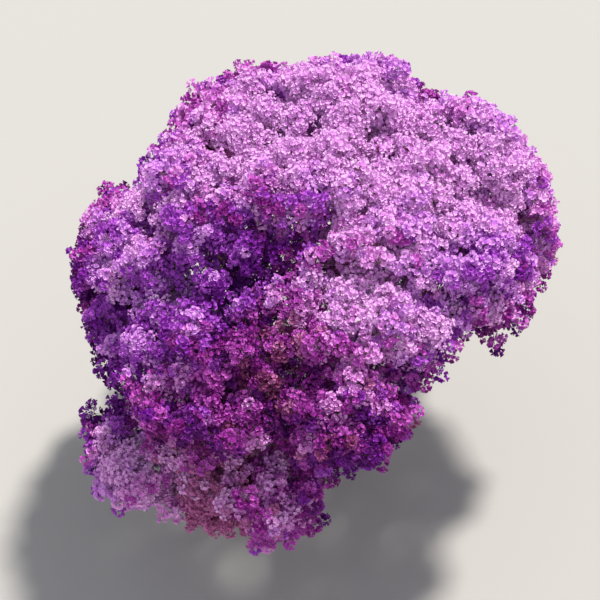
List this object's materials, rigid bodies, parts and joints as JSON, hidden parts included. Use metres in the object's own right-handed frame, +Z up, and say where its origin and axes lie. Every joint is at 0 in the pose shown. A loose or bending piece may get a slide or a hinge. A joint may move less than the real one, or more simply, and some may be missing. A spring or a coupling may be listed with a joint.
{
  "type": "jacaranda tree",
  "caption": "Whole jacaranda tree in full bloom: a short leaning trunk with a root flare forks into spreading boughs that carry a broad, uneven violet crown; fixed at its flat ground cut.",
  "frame": {"origin": "centre of the trunk's flat cut at ground level", "axes": "+Z up, +Y away from the viewer of the picture, +X to the viewer's right"},
  "size_m": [13.9028, 15.2043, 13.6517],
  "materials": {
    "bark": "rough, finely cracked grey-brown bark, unfinished",
    "blossom": "matt lilac to violet blossom, thin and soft"
  },
  "bodies": {
    "root": {"trunk": "bark", "bough_1": "bark", "bough_2": "bark", "bough_3": "bark", "bough_4": "bark", "bough_5": "bark", "branch_apron_1": "bark", "branch_apron_2": "bark", "branch_apron_3": "bark", "branch_high_1": "bark", "branch_high_2": "bark", "branch_high_3": "bark", "branch_high_4": "bark", "branch_high_5": "bark", "branch_low_1": "bark", "branch_low_2": "bark", "branch_low_3": "bark", "branch_low_4": "bark", "branch_low_5": "bark", "branch_low_6": "bark", "branch_low_7": "bark", "branch_low_8": "bark", "branch_low_9": "bark", "branch_skirt_1": "bark", "branch_skirt_2": "bark", "branch_skirt_3": "bark", "branch_skirt_4": "bark", "mass_apron_1": "blossom", "mass_apron_2": "blossom", "mass_apron_3": "blossom", "mass_high_1": "blossom", "mass_high_2": "blossom", "mass_high_3": "blossom", "mass_high_4": "blossom", "mass_high_5": "blossom", "mass_low_1": "blossom", "mass_low_2": "blossom", "mass_low_3": "blossom", "mass_low_4": "blossom", "mass_low_5": "blossom", "mass_low_6": "blossom", "mass_low_7": "blossom", "mass_low_8": "blossom", "mass_low_9": "blossom", "mass_mid_1": "blossom", "mass_mid_2": "blossom", "mass_mid_3": "blossom", "mass_mid_4": "blossom", "mass_mid_5": "blossom", "mass_mid_6": "blossom", "mass_mid_7": "blossom", "mass_mid_8": "blossom", "mass_skirt_1": "blossom", "mass_skirt_2": "blossom", "mass_skirt_3": "blossom", "mass_skirt_4": "blossom", "mass_top_1": "blossom"}
  },
  "joints": []
}
